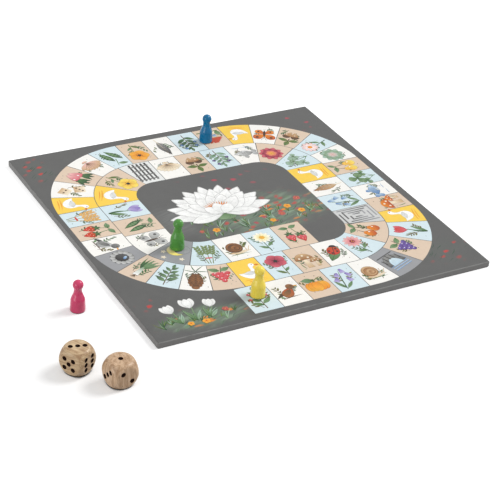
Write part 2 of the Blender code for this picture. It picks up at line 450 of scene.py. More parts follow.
def makePlainPaper(name, tone, fleck, tooth):   # undyed board or dyed paper with fibres in it
    material, tree, shader = newMaterial(name)
    paper = useGroup(tree, paperTooth, {'Cloud Size': 0.008, 'Tooth Size': tooth})
    fibres = useGroup(tree, brushMarks, {'Turn': 0.9, 'Length': 0.004, 'Width': 0.0003})['Marks']
    ink = stain(tree, linear(tone), fleck, paper['Mottle'], 0.30, 0.70, 0.4)
    ink = stain(tree, ink, fleck, fibres, 0.60, 0.72, 0.6)
    rough = spread(tree, paper['Tooth'], 0.2, 0.8, 0.72, 0.88)
    feed(tree, shader, {'Base Color': ink, 'Roughness': rough, 'Normal': bumpFrom(tree, fibres, 0.15)})
    return material


def dressBoard():
    finish = boardFinish
    papers = dict(
        printed_sheet=makeSheetPrint(),
        board_core=makePlainPaper('rawGreyboard', finish['core'], finish['coreFleck'], 0.0007),
        back_liner=makePlainPaper('dyedLiner', finish['liner'], finish['linerFleck'], 0.0005),
    )
    for node, material in papers.items():
        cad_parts[node].material_slots[0].material = material


dressBoard()
print('board layers have their paper')


# Ink shapes: flat outlines modelled once, then printed many times

inks = dict(
    paper=(247, 245, 240), sky=(213, 230, 236), sand=(222, 200, 178), sun=(248, 208, 84),
    slate=(154, 155, 158), charcoal=(90, 90, 90), black=(44, 42, 41), grey=(146, 146, 143),
    smoke=(206, 207, 206), pearl=(230, 232, 230), white=(252, 252, 250),
    leaf=(82, 120, 70), deepLeaf=(38, 70, 46), sage=(132, 158, 122), moss=(114, 122, 58),
    mint=(162, 190, 174), twig=(104, 82, 60), bark=(86, 58, 40), nut=(154, 104, 62),
    tan=(206, 172, 130), cream=(245, 233, 208), rust=(186, 82, 42), orange=(234, 142, 44),
    amber=(240, 178, 68), lemon=(246, 226, 108), red=(204, 54, 46), rose=(214, 104, 116),
    blush=(240, 192, 188), wine=(138, 38, 66), brick=(178, 74, 66), dustRose=(192, 108, 100),
    plum=(76, 48, 114), violet=(126, 106, 182), lilac=(190, 180, 222), blue=(76, 120, 176),
    ice=(190, 214, 230),
)
veins = dict(   # least length of a leaf that has a vein, the vein's share of it and width, in mm
    least=5, share=0.86, width=0.32,
    inks=dict(leaf='deepLeaf', sage='leaf', deepLeaf='sage', moss='deepLeaf', mint='sage'))

plainGrounds = ('sun', 'slate', 'smoke', 'pearl')   # cells with nothing behind their motif

taperedShapes = dict(   # steps along each shape, and its half width at a share t of its length
    dot=(9, lambda t: math.sqrt(t * (1 - t))),
    speck=(4, lambda t: math.sqrt(t * (1 - t))),
    leaf=(9, lambda t: 0.5 * math.sin(math.pi * t ** 0.85) ** 1.15),
    leaflet=(5, lambda t: 0.5 * math.sin(math.pi * t ** 0.85)),
    petal=(10, lambda t: 0.5 * math.sin(math.pi * (0.06 + 0.94 * t) ** 1.6) ** 0.7),
    sepal=(10, lambda t: 0.5 * math.sin(math.pi * t ** 1.15) ** 0.72),
    blade=(7, lambda t: 0.5 * (0.45 + 0.55 * math.sin(math.pi * t)) * (1 - t ** 3)),
    stem=(5, lambda t: 0.5 * (1 - 0.5 * t)),
    bar=(1, lambda t: 0.5),
    cap=(8, lambda t: 0.5 * math.sqrt(1 - t * t)),
    bell=(8, lambda t: 0.5 * (0.34 + 0.46 * math.sin(math.pi * 0.62 * t) + 0.24 * t ** 5)),
    root=(9, lambda t: 0.5 * math.sin(math.pi * (0.04 + 0.96 * t) ** 0.55) ** 0.8),
)
sweeps = dict(blade=2.2, stem=1.2)   # how far the tip bends sideways, in widths
centredShapes = ('dot', 'speck', 'bar')
plainShapes = ('stem', 'bar', 'blade', 'leaflet', 'speck')   # too small for a rim
rimShare, gooseRim = 0.045, 0.015
panelSteps = 10   # straight pieces along the ground of a cell

gooseOutline = [
    (-.50, .47), (-.43, .30), (-.28, .12), (-.08, .03), (.14, .05), (.27, .15), (.33, .29), (.30, .44),
    (.26, .57), (.27, .70), (.34, .77), (.42, .82), (.40, .92), (.31, .98), (.20, .95), (.14, .85),
    (.12, .70), (.10, .57), (.02, .49), (-.16, .47), (-.32, .45), (-.42, .46),
]

inkShapes = {}


def taperedOutline(name):
    steps, width = taperedShapes[name]
    sweep = sweeps.get(name, 0.0)
    down = 0.5 if name in centredShapes else 0.0
    shares = [(1 - math.cos(math.pi * i / steps)) / 2 for i in range(steps + 1)]
    right = [(sweep * t * t + width(t), t - down) for t in shares]
    left = [(sweep * t * t - width(t), t - down) for t in reversed(shares)]
    points = []
    for point in right + left:
        if all((Vector(point) - Vector(other)).length > 1e-4 for other in points):
            points.append(point)
    return points


def rounded(points):   # one more point on every side of a closed outline, on a smooth curve
    finer = []
    for i, point in enumerate(points):
        before, after, beyond = points[i - 1], points[(i + 1) % len(points)], points[(i + 2) % len(points)]
        finer.append(point)
        finer.append(tuple((9 * (p + a) - b - f) / 16 for b, p, a, f in zip(before, point, after, beyond)))
    return finer


def modelInkShape(name, outline, rim):
    clearSelection()
    bpy.ops.mesh.primitive_circle_add(vertices=len(outline), radius=0.5, fill_type='NGON')
    shape = bpy.context.object
    for vertex, (x, y) in zip(shape.data.vertices, outline):
        vertex.co = (x, y, 0)
    with editing(shape):
        bpy.ops.mesh.extrude_region_move(TRANSFORM_OT_translate={'value': (0, 0, 1)})
        if rim:
            bpy.ops.mesh.inset(thickness=rim)
    inner = [vertex.select for vertex in shape.data.vertices]   # what the last step left selected
    with editing(shape):
        bpy.ops.mesh.normals_make_consistent(inside=False)
    heights = [vertex.co.y for vertex in shape.data.vertices]
    low, high = min(heights), max(heights)
    along = [(height - low) / (high - low) for height in heights]
    inkShapes[name] = dict(mesh=shape.data, inner=inner, along=along)
    bpy.data.objects.remove(shape)


def modelPanel():   # the ground of one cell, bent to the track when it is printed
    clearSelection()
    bpy.ops.mesh.primitive_grid_add(x_subdivisions=panelSteps, y_subdivisions=1, size=1)
    panel = bpy.context.object
    with editing(panel):
        bpy.ops.mesh.extrude_region_move(TRANSFORM_OT_translate={'value': (0, 0, 1)})
    closeMesh(panel)
    mesh = panel.data
    bpy.data.objects.remove(panel)
    return mesh


for name in taperedShapes:
    modelInkShape(name, taperedOutline(name), 0.0 if name in plainShapes else rimShare)
modelInkShape('goose', rounded(gooseOutline), gooseRim)
panelMesh = modelPanel()
print('ink shapes are modelled:', len(inkShapes))


# Printing: thin films of ink on the sheet, coloured by the attribute ink

inkFilm = dict(   # mm; wash is how unevenly the paint lies, kept in the attribute's alpha
    sink=0.005, panel=0.020, step=0.008, clear=0.3, rimShade=0.50, panelWash=0.25, motifWash=1.0)


def makeInkPrint():
    material, tree, shader = newMaterial('inkPrint')
    paper = filmFinish(tree, shader, boardFinish['film'], 0.04)
    ink = wire(tree, 'Attribute', attribute_name='ink').outputs
    place = objectPlace(tree)
    puddle = calc(tree, 'SUBTRACT', noise(tree, place, 230, 5, 0.65), 0.52)
    stroke = calc(tree, 'SUBTRACT', noise(tree, place, 1100, 3, 0.6), 0.50)
    uneven = calc(tree, 'ADD', puddle, calc(tree, 'MULTIPLY', stroke, 0.7))
    uneven = calc(tree, 'MULTIPLY', uneven, ink['Alpha'])
    tone = calc(tree, 'ADD', calc(tree, 'MULTIPLY', uneven, 0.55), 1.0)
    tone = calc(tree, 'MULTIPLY', tone, spread(tree, paper['Tooth'], 0.2, 0.8, 0.98, 1.01))
    feed(tree, shader, {'Base Color': shadeInk(tree, ink['Color'], tone)})
    return material


inkPrint = makeInkPrint()


def giveInk(mesh, colours):
    attribute = mesh.attributes.new('ink', 'FLOAT_COLOR', 'POINT')
    attribute.data.foreach_set('color', [channel for colour in colours for channel in colour])
    mesh.materials.clear()
    mesh.materials.append(inkPrint)


def printRow(row, seat, top):   # one copy of an ink shape, coloured from foot to tip
    shape, x, y, turn, length, width, ink, tip = row
    master = inkShapes[shape]
    mesh = master['mesh'].copy()
    foot, end = linear(inks[ink])[:3], linear(inks[tip])[:3]
    colours = []
    for along, inner in zip(master['along'], master['inner']):
        shade = 1.0 if inner else inkFilm['rimShade']
        colours.append([(a + (b - a) * along) * shade for a, b in zip(foot, end)] + [inkFilm['motifWash']])
    giveInk(mesh, colours)
    place = Matrix.Translation((x * mm, y * mm, -inkFilm['sink'] * mm))
    lean = Matrix.Rotation(math.radians(turn), 4, 'Z')
    size = Matrix.Diagonal((width * mm, length * mm, (top + inkFilm['sink']) * mm, 1))
    mesh.transform(seat @ place @ lean @ size)
    return newPiece(shape, mesh)


def withVeins(rows):   # a fine line down the middle of every large green leaf
    veined = []
    for row in rows:
        veined.append(row)
        shape, x, y, turn, length = row[:5]
        ink = row[6]
        if shape == 'leaf' and length > veins['least'] and ink in veins['inks']:
            veined.append(stem(x, y, turn, length * veins['share'], veins['width'], veins['inks'][ink]))
    return veined


def inkSpots(row):   # discs along the middle of a shape that cover it, as places and radius
    shape, x, y, turn, length, width = row[:6]
    down = 0.5 if shape in centredShapes else 0.0
    spots = []
    for share in (0, 0.2, 0.4, 0.6, 0.8, 1):
        aside = sweeps.get(shape, 0.0) * share ** 2 * width
        spots.append(reachFrom(x, y, turn, (share - down) * length, aside))
    return spots, width / 2


def inkLayers(rows):   # lowest free layer for each shape over the earlier ones that it covers
    covers, layers = [], []
    for row in rows:
        spots, radius = inkSpots(row)
        layer = 1
        for (otherSpots, otherRadius), otherLayer in zip(covers, layers):
            if otherLayer < layer:
                continue
            reach = radius + otherRadius + inkFilm['clear']
            if any(math.dist(a, b) < reach for a in spots for b in otherSpots):
                layer = otherLayer + 1
        covers.append((spots, radius))
        layers.append(layer)
    return layers


def printRows(rows, seat, base, step=inkFilm['step']):
    rows = withVeins(rows)
    return [printRow(row, seat, base + step * layer) for row, layer in zip(rows, inkLayers(rows))]


def finishPrint(name, pieces):
    piece = joinPieces(name, pieces)
    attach(piece, 'board')
    return piece


# Motifs: rows of shape, place, turn from upright, length, width, foot ink and tip ink, in mm

def put(shape, x, y, turn, length, width, ink, tip=None):
    return (shape, x, y, turn, length, width, ink, tip or ink)


stem, leaf, leaflet, blade = (partial(put, shape) for shape in ('stem', 'leaf', 'leaflet', 'blade'))
petal, sepal, bell, cap, root = (partial(put, shape) for shape in ('petal', 'sepal', 'bell', 'cap', 'root'))
dot, speck, bar = (partial(put, shape) for shape in ('dot', 'speck', 'bar'))


def fan(shape, x, y, count, first, last, length, width, ink, tip=None):
    step = (last - first) / max(count - 1, 1)
    return [put(shape, x, y, first + step * i, length, width, ink, tip) for i in range(count)]


def dots(spots, size, ink, tip=None):
    return [dot(x, y, 30, size, size, ink, tip) for x, y in spots]


def berry(x, y, size, ink):
    shine = size * 0.16
    return dots([(x, y)], size, ink) + dots([(x + shine, y + shine)], size * 0.24, 'white')


def blossom(x, y, count, length, width, ink, tip, heart, heartSize):
    petals = fan('petal', x, y, count, 10, 370 - 360 / count, length, width, ink, tip)
    return petals + dots([(x, y)], heartSize, heart)


def sprig(ink, tip, berries=None, pairs=4):
    rows = [stem(0, -13.5, 1, 25, 0.8, 'twig')]
    for i in range(pairs):
        y, size = -9 + 19 * i / pairs, 9.6 - 4.4 * i / pairs
        rows.append(leaf(0, y, 58 - 4 * i, size, size * 0.42, ink, tip))
        rows.append(leaf(0.3, y + 2, -56 + 4 * i, size, size * 0.42, tip, ink))
    rows.append(leaf(0.7, 9.5, -4, 5.5, 2.6, ink, tip))
    if berries:
        for x, y in ((-6.4, 0), (6.6, 2.6), (-5, 6.4), (5, 9)):
            rows += berry(x, y, 2.9, berries)
    return rows


def daisy(ink, tip, heart, count=11):
    rows = [stem(-1.6, -14, 3, 19, 0.9, 'deepLeaf', 'leaf'),
            leaf(-1.2, -10, 52, 9, 3.2, 'leaf', 'sage'),
            leaf(-1, -7, -50, 8, 3, 'sage', 'leaf')]
    rows += blossom(0, 5.5, count, 7.6, 3.1, ink, tip, heart, 4.2)
    return rows + dots([(0.9, 6.6), (-0.8, 5.2), (0.5, 4.4)], 0.9, 'amber')


def tulip(ink, tip):
    rows = [stem(0, -14, 1, 17, 0.9, 'leaf'),
            blade(-0.4, -13.5, 10, 16, 2.4, 'deepLeaf', 'leaf'),
            leaf(0.4, -13.5, -22, 14, 3.4, 'leaf', 'sage')]
    rows += fan('sepal', 0, 2, 2, 20, -20, 11.5, 5.4, ink, tip)
    return rows + [sepal(0, 1.6, 0, 11, 5.6, tip, ink)]


def poppy(ink, tip):
    rows = [stem(1.4, -14, -1, 18, 0.8, 'moss'),
            leaf(1, -12, 46, 9, 3, 'moss', 'leaf'),
            leaf(1.2, -9, -48, 7, 2.6, 'leaf', 'sage')]
    rows += blossom(0.4, 5.5, 5, 8.6, 8.2, ink, tip, 'black', 3.2)
    stamens = [(2.6, 6.6), (-1.6, 6.8), (0.2, 3.0), (1.2, 8.0), (-1.4, 4.2), (2.4, 4.2)]
    return rows + dots(stamens, 0.7, 'black')


def bells(ink, tip):
    rows = [blade(-5, -14, -8, 26, 1.0, 'deepLeaf', 'leaf'),
            leaf(-4.6, -13, 24, 13, 3, 'leaf', 'sage'),
            leaf(-4.2, -13, -46, 11, 2.8, 'sage', 'leaf')]
    hung = ((-5.2, 1.5, 150), (1.8, -0.6, 205), (-2.6, 7.4, 160), (3.6, 5.6, 212), (2.2, 11.6, 185))
    return rows + [bell(x, y, turn, 5.4, 4.6, ink, tip) for x, y, turn in hung]


def bunch(ink, tip, leafInk):   # berries hanging in a cluster under two leaves
    rows = [stem(0.4, 6, -6, 8, 0.9, 'bark'),
            leaf(0, 8, 66, 9.5, 5, leafInk, 'sage'),
            leaf(0.4, 8, -62, 9, 4.6, 'sage', leafInk)]
    for count, y in ((4, 4.4), (3, 1.2), (2, -2), (1, -5)):
        spots = [(3.4 * (i - (count - 1) / 2), y + 0.3 * (i % 2)) for i in range(count)]
        rows += dots(spots, 4.2, ink, tip) + dots([(x + 0.6, z + 0.7) for x, z in spots[::2]], 0.9, 'white')
    return rows


def twoFruits(ink, tip, leafInk, tall=1.0):
    rows = [stem(-3.4, 1, -12, 9, 0.8, 'bark'),
            stem(4.2, -1, 14, 11, 0.8, 'bark'),
            leaf(1.4, 9.4, 70, 9, 4.2, leafInk, 'sage'),
            leaf(1.4, 9.6, -40, 7.5, 3.6, 'sage', leafInk)]
    for x, y in ((-3.8, -3.4), (4.2, -5.6)):
        rows += [dot(x - 0.2, y + 3.2 * tall, 10, 5.4 * tall, 5.2, ink, tip),
                 dot(x, y, 25, 8.4, 8.2, ink, tip),
                 dot(x + 1.6, y + 1.8, 20, 1.7, 1.1, 'white')]
    return rows


def acorns():
    rows = [stem(0, 2, 2, 10, 0.9, 'bark')]
    rows += fan('leaf', 0, 6, 3, 100, -100, 9.5, 4.6, 'moss', 'leaf')
    for x, turn in ((-3.4, 14), (3.6, -12)):
        rows += [root(x, -1, 180 + turn, 9, 6.2, 'nut', 'tan'),
                 cap(x, -2.4, turn, 4, 7.2, 'bark', 'twig'),
                 dot(x + 0.8, -5, 0, 1.6, 0.8, 'cream')]
    return rows


def feather(ink, tip):
    rows = [leaf(1, -10, 8, 24, 7.6, ink, tip), stem(1.6, -14.5, 7, 27, 0.7, 'cream', 'bark')]
    for y in (-5, -1.5, 2, 5.5):
        rows += [stem(0.8 - 0.14 * y, y, side, 4, 0.35, tip, 'smoke') for side in (52, -34)]
    return rows


def shell(ink, tip):
    rows = fan('petal', 0, -7, 9, 58, -58, 12.6, 4.4, ink, tip)
    rows += fan('stem', 0, -6, 8, 50, -50, 11, 0.4, 'bark', tip)
    return rows + [cap(0, -7.6, 180, 2.2, 5.4, tip, ink)]


def butterfly(ink, tip, spot):
    rows = []
    for side in (1, -1):
        rows += [petal(0, 0.5, side * 48, 11.6, 8.4, ink, tip),
                 petal(0, -0.5, side * 124, 9.2, 7, tip, ink),
                 dot(-side * 5.8, 6.0, 0, 2.6, 2.6, spot),
                 dot(-side * 5.0, -4.4, 0, 2, 2, spot),
                 stem(0, 5.5, side * 22, 6, 0.35, 'black')]
    return rows + [leaf(0, -7, 0, 14, 2.2, 'black', 'bark')]


def mushrooms(ink, tip):
    rows = [blade(6, -12, -8, 9, 0.9, 'moss'), blade(-6.4, -12, 22, 8, 0.9, 'leaf')]
    for x, size in ((-2, 1.0), (5, 0.6)):
        rows += [bell(x, -12 + 13 * size, 180, 13 * size, 5.4 * size, 'cream', 'tan'),
                 cap(x, -12 + 11 * size, 0, 8.4 * size, 15 * size, ink, tip)]
        spots = [(x + a * size, -12 + b * size) for a, b in ((-3.4, 13.4), (0.6, 16.4), (3.8, 13.2))]
        rows += dots(spots, 1.9 * size, 'cream')
    return rows


def fish(ink, tip):
    rows = [petal(-6, 0.4, 62, 6, 4.6, tip, ink),
            petal(-6, -0.4, 118, 6, 4.6, tip, ink),
            petal(1, 2, 18, 6, 4, tip, ink),
            leaf(-7.6, 0, -90, 17, 9, ink, tip),
            petal(2, -1.2, 130, 4.6, 2.4, tip, 'smoke'),
            dot(6, 1, 0, 1.8, 1.8, 'white'),
            dot(6.2, 1, 0, 0.9, 0.9, 'black')]
    rows += [stem(x, -2.4, 4, 5, 0.3, 'charcoal', ink) for x in (-2.5, -0.5, 1.5)]
    return rows + [blade(x, -9.6, -86, 8, 0.7, 'blue', 'ice') for x in (-8, 0.5)]


def songbird(ink, tip, breast):
    return [blade(-8, -8.6, -78, 17, 1.0, 'twig', 'bark'),
            stem(-0.8, -8, -6, 4.6, 0.5, 'bark'),
            stem(1.4, -8, 4, 4.6, 0.5, 'bark'),
            leaf(-2.4, -0.6, 122, 11, 3, ink, 'black'),
            petal(4.4, 4.4, 142, 14.6, 9.2, breast, tip),
            dot(4.2, 4.8, 20, 6.6, 6.4, ink, tip),
            leaf(2.6, 1.6, 132, 11, 4.6, ink, tip),
            leaf(6.8, 4.9, -96, 3.4, 1.3, 'amber', 'orange'),
            dot(5.2, 5.6, 0, 1.0, 1.0, 'black'),
            leaf(-6, -8, 40, 4.6, 2, 'leaf', 'sage')]


def radishes(ink, tip):
    rows = []
    for x, turn in ((-3.6, 10), (3.8, -12)):
        rows += fan('leaf', x, 0, 3, turn + 24, turn - 24, 11.4, 3.6, 'leaf', 'deepLeaf')
        rows += [root(x, 1.6, 180 + turn, 12, 7, ink, tip),
                 dot(x + 1.2, -1.6, 0, 2.2, 1.2, 'white')]
    return rows


def peas():
    rows = [stem(-1, 3, -14, 11, 0.8, 'leaf'), leaf(0.8, 10, 74, 8.5, 4, 'sage', 'leaf')]
    for x, y, turn in ((-6.4, 4.4, 205), (1.2, 6.4, 198)):
        rows.append(leaf(x, y, turn, 18, 5.6, 'deepLeaf', 'leaf'))
        rows += dots([reachFrom(x, y, turn, along) for along in (5.6, 8.4, 11.2)], 2.9, 'sage', 'leaf')
    return rows


def wheat(ink, tip):
    rows = []
    for x, turn in ((-1.6, 11), (0, 0), (1.6, -10)):
        rows.append(stem(x, -14, turn, 25, 0.7, 'moss', ink))
        for along in (12, 15, 18, 21):
            spot = reachFrom(x, -14, turn, along)
            rows += [leaf(*spot, turn + 30, 5, 2, ink, tip), leaf(*spot, turn - 30, 5, 2, tip, ink)]
    return rows + [bar(0, -6.5, 0, 1.4, 5, 'red')]


def clover(ink, tip):
    rows = [stem(0, -14, 0, 15, 0.8, 'leaf'),
            stem(-0.4, -12, 34, 9, 0.6, 'leaf'),
            stem(0.4, -12, -36, 9, 0.6, 'leaf')]
    for x, y, size in ((0, 2.4, 1.0), (-6, -3.6, 0.6), (6.2, -3.8, 0.6)):
        rows += fan('petal', x, y, 3, 0, 240, 8 * size, 7.6 * size, ink, tip)
        rows += fan('stem', x, y, 3, 0, 240, 5 * size, 0.35, 'deepLeaf')
    return rows


def snail(ink, tip):
    rows = [leaf(-8.6, -6.8, -88, 18, 4.4, 'tan', 'cream'),
            stem(6.2, -5.6, 4, 6.5, 0.6, 'tan'),
            stem(7.2, -5.8, -24, 6, 0.6, 'tan')]
    for i in range(4):
        pair = (ink, tip) if i % 2 == 0 else (tip, ink)
        rows.append(dot(-1.6 + 0.5 * i, 0.2 - 0.3 * i, 20 * i, 13.6 - 3.2 * i, 13 - 3 * i, *pair))
    return rows + [blade(-8.6, -9.4, -84, 17, 0.8, 'moss', 'leaf')]


def ladybird(ink, tip):
    rows = [leaf(-7.6, -10, -42, 22, 8.6, 'leaf', 'sage')]
    rows += [stem(0, 2, turn, 8.2, 0.5, 'black') for turn in (62, 98, 132, -50, -84, -120)]
    rows += [dot(0.6, 2, -20, 11.6, 10.4, ink, tip),
             cap(2.6, 6.6, -20, 2.8, 6, 'black'),
             bar(0.7, 2.2, -20, 10.6, 0.5, 'black')]
    return rows + dots([(-2.8, 2.6), (-1.6, -0.8), (3.4, 3.8), (3, 0.2)], 2, 'black')


def rosette(ink, tip, heart):
    rows = fan('petal', 0, 0, 10, 0, 324, 10.2, 5.6, ink, tip)
    rows += fan('petal', 0, 0, 8, 20, 335, 7.8, 4.6, tip, ink)
    return rows + fan('petal', 0, 0, 6, 0, 300, 5, 3.6, heart, tip)


def pineCone(ink, tip):
    rows = fan('blade', 0, 8, 6, 140, -130, 10, 0.9, 'deepLeaf', 'leaf')
    for i, wide in enumerate((2.2, 3.6, 4.4, 4.4, 3.4, 1.6)):
        for side in (-1, 0, 1):
            rows.append(petal(wide * side, 6 - 3 * i, 180 - 14 * side, 6, 4.4, ink, tip))
    return rows


def strawberries(ink, tip):
    rows = [stem(-3, 2, -10, 10, 0.7, 'leaf'),
            stem(4, 0, 14, 12, 0.7, 'leaf'),
            leaf(0, 10, 80, 8, 4.4, 'leaf', 'sage'),
            leaf(0.6, 10, -70, 8, 4.4, 'sage', 'leaf')]
    for x, y in ((-3.6, 2), (4.2, -0.6)):
        rows.append(petal(x, y - 10.4, 0, 11, 8, ink, tip))
        rows += fan('leaf', x, y - 0.4, 5, 120, -120, 4, 1.8, 'leaf', 'deepLeaf')
        seeds = ((-1.8, -3.4), (1.6, -3.6), (0, -5.4), (-1, -7.4), (1.2, -7))
        rows += dots([(x + a, y + b) for a, b in seeds], 0.6, 'cream')
    return rows


def squash(ink, tip):
    rows = [leaf(0.6, 5.4, 78, 10, 6, 'leaf', 'sage'), blade(0.4, 4.6, -50, 9, 0.9, 'moss')]
    for i, x in enumerate((-5.6, 5.6, -3, 3, 0)):
        pair = (ink, tip) if i % 2 else (tip, ink)
        rows.append(dot(x, -2.4, 0, 13 - abs(x) * 0.4, 7.6, *pair))
    return rows + [bar(0.2, 4.8, -8, 4, 1.8, 'moss', 'deepLeaf')]


def leek(ink):
    rows = fan('blade', -0.6, -2, 4, 34, -4, 15, 2.6, 'deepLeaf', 'leaf')
    rows += fan('leaf', 0, -2, 3, -4, -34, 15, 3.4, 'leaf', 'sage')
    rows.append(bell(0, 1, 180, 12, 4.8, 'sage', 'white'))
    return rows + fan('stem', 0, -10.6, 5, 150, 210, 4, 0.4, ink)


def cottage():
    rows = [bar(0, -5, 0, 11, 13, 'cream', 'tan'), bar(4.4, 5.8, 0, 5, 2.2, 'rust')]
    rows += [bar(0, 0.8 + 1.7 * i, 0, 1.9, 16.4 - 3.0 * i, 'rust', 'red') for i in range(5)]
    return rows + [bar(-3.4, -3.4, 0, 4, 3.2, 'blue', 'ice'),
                   bar(2.8, -6.6, 0, 7.6, 3.6, 'bark', 'nut'),
                   dot(-8, -7, 0, 7, 5, 'leaf', 'sage'),
                   bar(0, -11.2, 0, 1.2, 19, 'moss', 'leaf')]


def archBridge():
    rows = [bar(0, -9 + 2.4 * i, 0, 1.1, 19, 'blue', 'ice') for i in range(4)]
    rows += [cap(0, -4, 0, 13, 19.6, 'charcoal', 'grey'), cap(0, -5, 0, 9, 12, 'ice', 'sky')]
    rows += [bar(x, 6 - x * x * 0.045, 0, 6, 1.0, 'black', 'charcoal') for x in (-8, -4, 0, 4, 8)]
    return rows + [bar(0, 9.6, 0, 1.1, 18, 'charcoal')]


def stoneWell():
    ring = [(7 * math.cos(math.radians(a)), 7 * math.sin(math.radians(a))) for a in range(0, 360, 30)]
    rows = [dot(0, 0, 0, 18, 18, 'charcoal', 'grey')] + dots(ring, 4.2, 'smoke', 'grey')
    return rows + [dot(0, 0, 30, 10, 10, 'black', 'charcoal'),
                   dot(1.4, 1.6, 30, 4.6, 2.4, 'blue', 'ice')]


def hedgeMaze():
    rows = []
    for i, size in enumerate((9.8, 7.2, 4.6, 2.1)):
        tall = size * 1.4
        gap = 2.4 if i % 2 else -2.4
        rows += [bar(-size, 0, 0, 2 * tall, 1.3, 'slate', 'charcoal'),
                 bar(size, 0, 0, 2 * tall, 1.3, 'charcoal', 'slate'),
                 bar(gap, tall, 0, 1.3, 2 * size - 3.6, 'charcoal'),
                 bar(-gap, -tall, 0, 1.3, 2 * size - 3.6, 'slate')]
    return rows


def lattice():
    rows = [bar(x, -1, 0, 28, 1.7, 'black', 'charcoal') for x in (-6.8, -3.4, 0, 3.4, 6.8)]
    return rows + [bar(0, y, 0, 1.3, 16.6, 'charcoal', 'grey') for y in (-11, -3.8, 3.4, 10.6)]


def dicePair():
    rows = []
    pairs = ((-2.2, 5.2, 14, ((-2.2, -2.2), (0, 0), (2.2, 2.2))), (2.4, -5.8, -20, ((-2, 0), (2, 0))))
    for x, y, turn, spots in pairs:
        rows.append(bar(x, y, turn, 8.8, 8.8, 'tan', 'cream'))
        rows += dots([reachFrom(x, y, turn, high, right) for right, high in spots], 1.7, 'bark')
    return rows


def moonNight():
    rows = [dot(0, 1, 30, 15, 15, 'lemon', 'cream'), dot(3.6, 3.2, 30, 12.4, 12.4, 'slate')]
    for x, y in ((8, -9), (-8, -5), (-3, 12), (-5, -12)):
        rows += fan('leaf', x, y, 5, 0, 288, 2.4, 1.2, 'cream')
    return rows


def gooseMark():
    return [blade(-9, -10, -86, 17, 1.2, 'amber', 'orange'),
            blade(-7, -12, -88, 15, 0.9, 'orange', 'amber'),
            put('goose', -0.4, -9.6, 0, 20, 18, 'white'),
            leaf(4.4, -2, 84, 10.5, 4.4, 'smoke', 'pearl'),
            leaf(2.6, -3.6, 80, 8.6, 2.6, 'pearl', 'smoke'),
            leaf(6.6, 7.2, -98, 4.2, 1.9, 'orange', 'rust'),
            dot(5.4, 8.2, 0, 0.9, 0.9, 'black')]


spray = dict(   # least and most of each, in mm and degrees
    aside=(1.5, 5), foot=(-13, -2), lean=(6, 40), length=(8, 12), leaf=(2.6, 4.4), leafLeans=(48, -44),
    inks=[('deepLeaf', 'sage'), ('leaf', 'deepLeaf'), ('moss', 'deepLeaf'), ('charcoal', 'sage'),
          ('twig', 'moss')],
    specks=5, speck=(0.4, 0.9), speckAside=(-9, 9), speckUp=(-13, 13),
    speckInks=('charcoal', 'twig', 'leaf'))


def sprayRows(seed):   # thin dark sprays of leaves and a few specks of paint, to lie behind a motif
    draw = random.Random(seed)
    rows = []
    for side in (1, -1):
        x, y = side * draw.uniform(*spray['aside']), draw.uniform(*spray['foot'])
        turn, length = -side * draw.uniform(*spray['lean']), draw.uniform(*spray['length'])
        foot, tip = draw.choice(spray['inks'])
        rows.append(stem(x, y, turn, length, 0.5, 'twig', foot))
        for i in range(4):
            spot = reachFrom(x, y, turn, length * (0.28 + 0.24 * i))
            for lean in spray['leafLeans']:
                size = draw.uniform(*spray['leaf'])
                rows.append(leaflet(*spot, turn + lean, size, size * 0.42, foot, tip))
    for i in range(spray['specks']):
        size = draw.uniform(*spray['speck'])
        spot = (draw.uniform(*spray['speckAside']), draw.uniform(*spray['speckUp']))
        rows.append(speck(*spot, 0, size, size, draw.choice(spray['speckInks'])))
    return rows


# The track: one path from the first cell at the near edge round to the inner end

track = dict(   # mm from the middle of the board
    width=35.0, outerRadius=93.0, gap=0.55, motifSize=1.06, margin=1.2,
    leftX=-47.85, rightX=44.7, farY=43.5, nearY=-45.9, startX=-62.8, endX=32.6,
    runs=[   # number of cells and their length, leg by leg
        (5, 24.9), (3, 26.4), (6, 22.2), (3, 23.3), (5, 24.4), (4, 23.0), (5, 22.1), (4, 20.9), (4, 25.0),
        (2, 24.7), (4, 25.0), (2, 23.8), (5, 24.0), (2, 25.1), (3, 24.5), (2, 24.3), (3, 26.2)],
)

